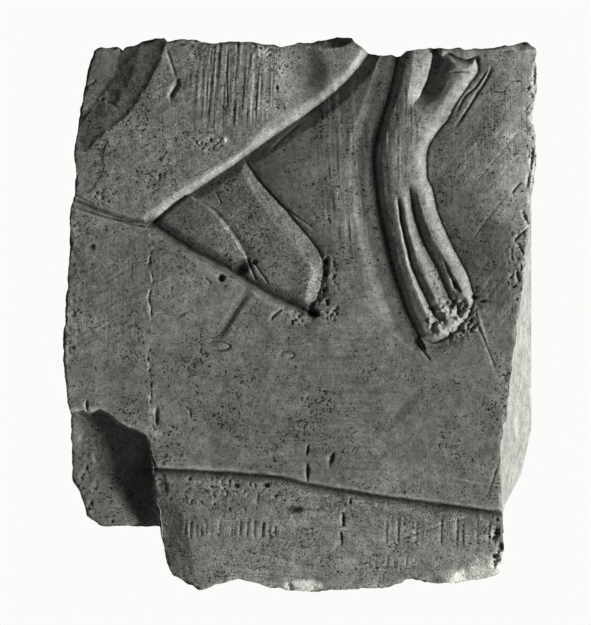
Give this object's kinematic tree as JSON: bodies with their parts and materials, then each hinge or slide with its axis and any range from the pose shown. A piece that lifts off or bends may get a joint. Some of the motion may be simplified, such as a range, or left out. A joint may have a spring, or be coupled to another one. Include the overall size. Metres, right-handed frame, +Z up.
{
  "type": "stone relief panel",
  "caption": "Broken limestone wall block carved in sunk relief with a hanging hand beside a garment's hem and sash ends, above a raised border band.",
  "frame": {"origin": "middle of the flat back face, on the back plane", "axes": "X to the right as the carved face is seen, Z up, the carved face looks along -Y and the back face along +Y"},
  "size_m": [0.2035, 0.064, 0.238],
  "materials": {
    "limestone": "matt fine-grained limestone with a grey patina, fine dark pits and lighter fresh edges"
  },
  "bodies": {
    "root": {"relief_block": "limestone"}
  },
  "joints": []
}
